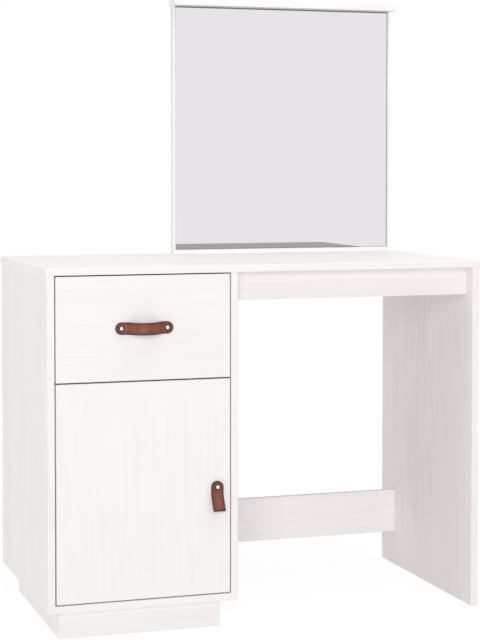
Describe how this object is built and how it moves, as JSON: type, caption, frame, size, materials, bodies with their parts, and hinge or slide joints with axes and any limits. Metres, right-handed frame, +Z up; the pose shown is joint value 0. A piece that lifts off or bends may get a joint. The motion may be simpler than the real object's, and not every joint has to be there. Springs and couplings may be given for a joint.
{
  "type": "dressing table",
  "caption": "White painted pine dressing table: a cabinet with a drawer over a hinged door, a leg panel, a knee space and a tall fixed mirror; leather pulls.",
  "frame": {"origin": "on the floor, under the middle of the box round the whole table, the pulls included", "axes": "+X to the user's right, +Y from the front to the back, +Z up"},
  "size_m": [0.95, 0.53, 1.34],
  "materials": {
    "painted_pine": "satin white paint over pine, grain and knots faintly showing",
    "bare_pine": "planed pine, unpainted",
    "white_fibreboard": "smooth white painted fibreboard",
    "beech_dowel": "turned beech",
    "mirror_glass": "silvered float glass",
    "brown_leather": "smooth brown leather, burnished darker edges",
    "pale_brass": "polished pale brass",
    "nickel_steel": "nickel-plated pressed steel",
    "zinc_steel": "zinc-plated steel",
    "cast_zinc": "dull die-cast zinc",
    "white_plastic": "moulded white plastic"
  },
  "bodies": {
    "table": {"tabletop": "painted_pine", "cabinet_left_side": "painted_pine", "cabinet_right_side": "painted_pine", "right_panel": "painted_pine", "cabinet_bottom": "painted_pine", "plinth_front": "painted_pine", "plinth_rear": "painted_pine", "plinth_left": "painted_pine", "plinth_right": "painted_pine", "front_apron": "painted_pine", "lower_rail": "painted_pine", "mirror_left_strip": "painted_pine", "mirror_right_strip": "painted_pine", "mirror_bottom_strip": "painted_pine", "mirror_cap": "painted_pine", "cabinet_back_panel": "white_fibreboard", "drawer_divider": "painted_pine", "mirror_backboard": "painted_pine", "mirror_glass": "mirror_glass", "left_drawer_runner": "bare_pine", "right_drawer_runner": "bare_pine", "runner_screws": "zinc_steel", "upper_hinge_arm": "nickel_steel", "lower_hinge_arm": "nickel_steel", "hinge_arm_screws": "zinc_steel", "catch_body": "white_plastic", "catch_screws": "zinc_steel", "dowels": "beech_dowel", "cam_discs": "cast_zinc", "cam_bolts": "zinc_steel", "mirror_screws": "zinc_steel"},
    "drawer": {"drawer_front": "painted_pine", "drawer_left_side": "bare_pine", "drawer_right_side": "bare_pine", "drawer_back": "bare_pine", "drawer_bottom": "white_fibreboard", "drawer_dowels": "beech_dowel", "drawer_screws": "zinc_steel", "drawer_pull_strap": "brown_leather", "drawer_pull_screws": "pale_brass", "drawer_pull_nuts": "zinc_steel"},
    "door": {"door_panel": "painted_pine", "upper_hinge_cup": "nickel_steel", "lower_hinge_cup": "nickel_steel", "upper_hinge_pin": "zinc_steel", "lower_hinge_pin": "zinc_steel", "hinge_cup_screws": "zinc_steel", "door_pull_tab": "brown_leather", "door_pull_screw": "pale_brass", "door_pull_nut": "zinc_steel", "catch_plate": "zinc_steel", "catch_plate_screw": "zinc_steel"}
  },
  "joints": [
    {"name": "drawer_slide", "type": "slide", "parent": "table", "child": "drawer", "axis": [0, -1, 0], "range_m": [0, 0.28]},
    {"name": "door_hinge", "type": "hinge", "parent": "table", "child": "door", "pos_m": [-0.4455, -0.2285, 0.295], "axis": [0, 0, -1], "range_deg": [0, 95]}
  ]
}
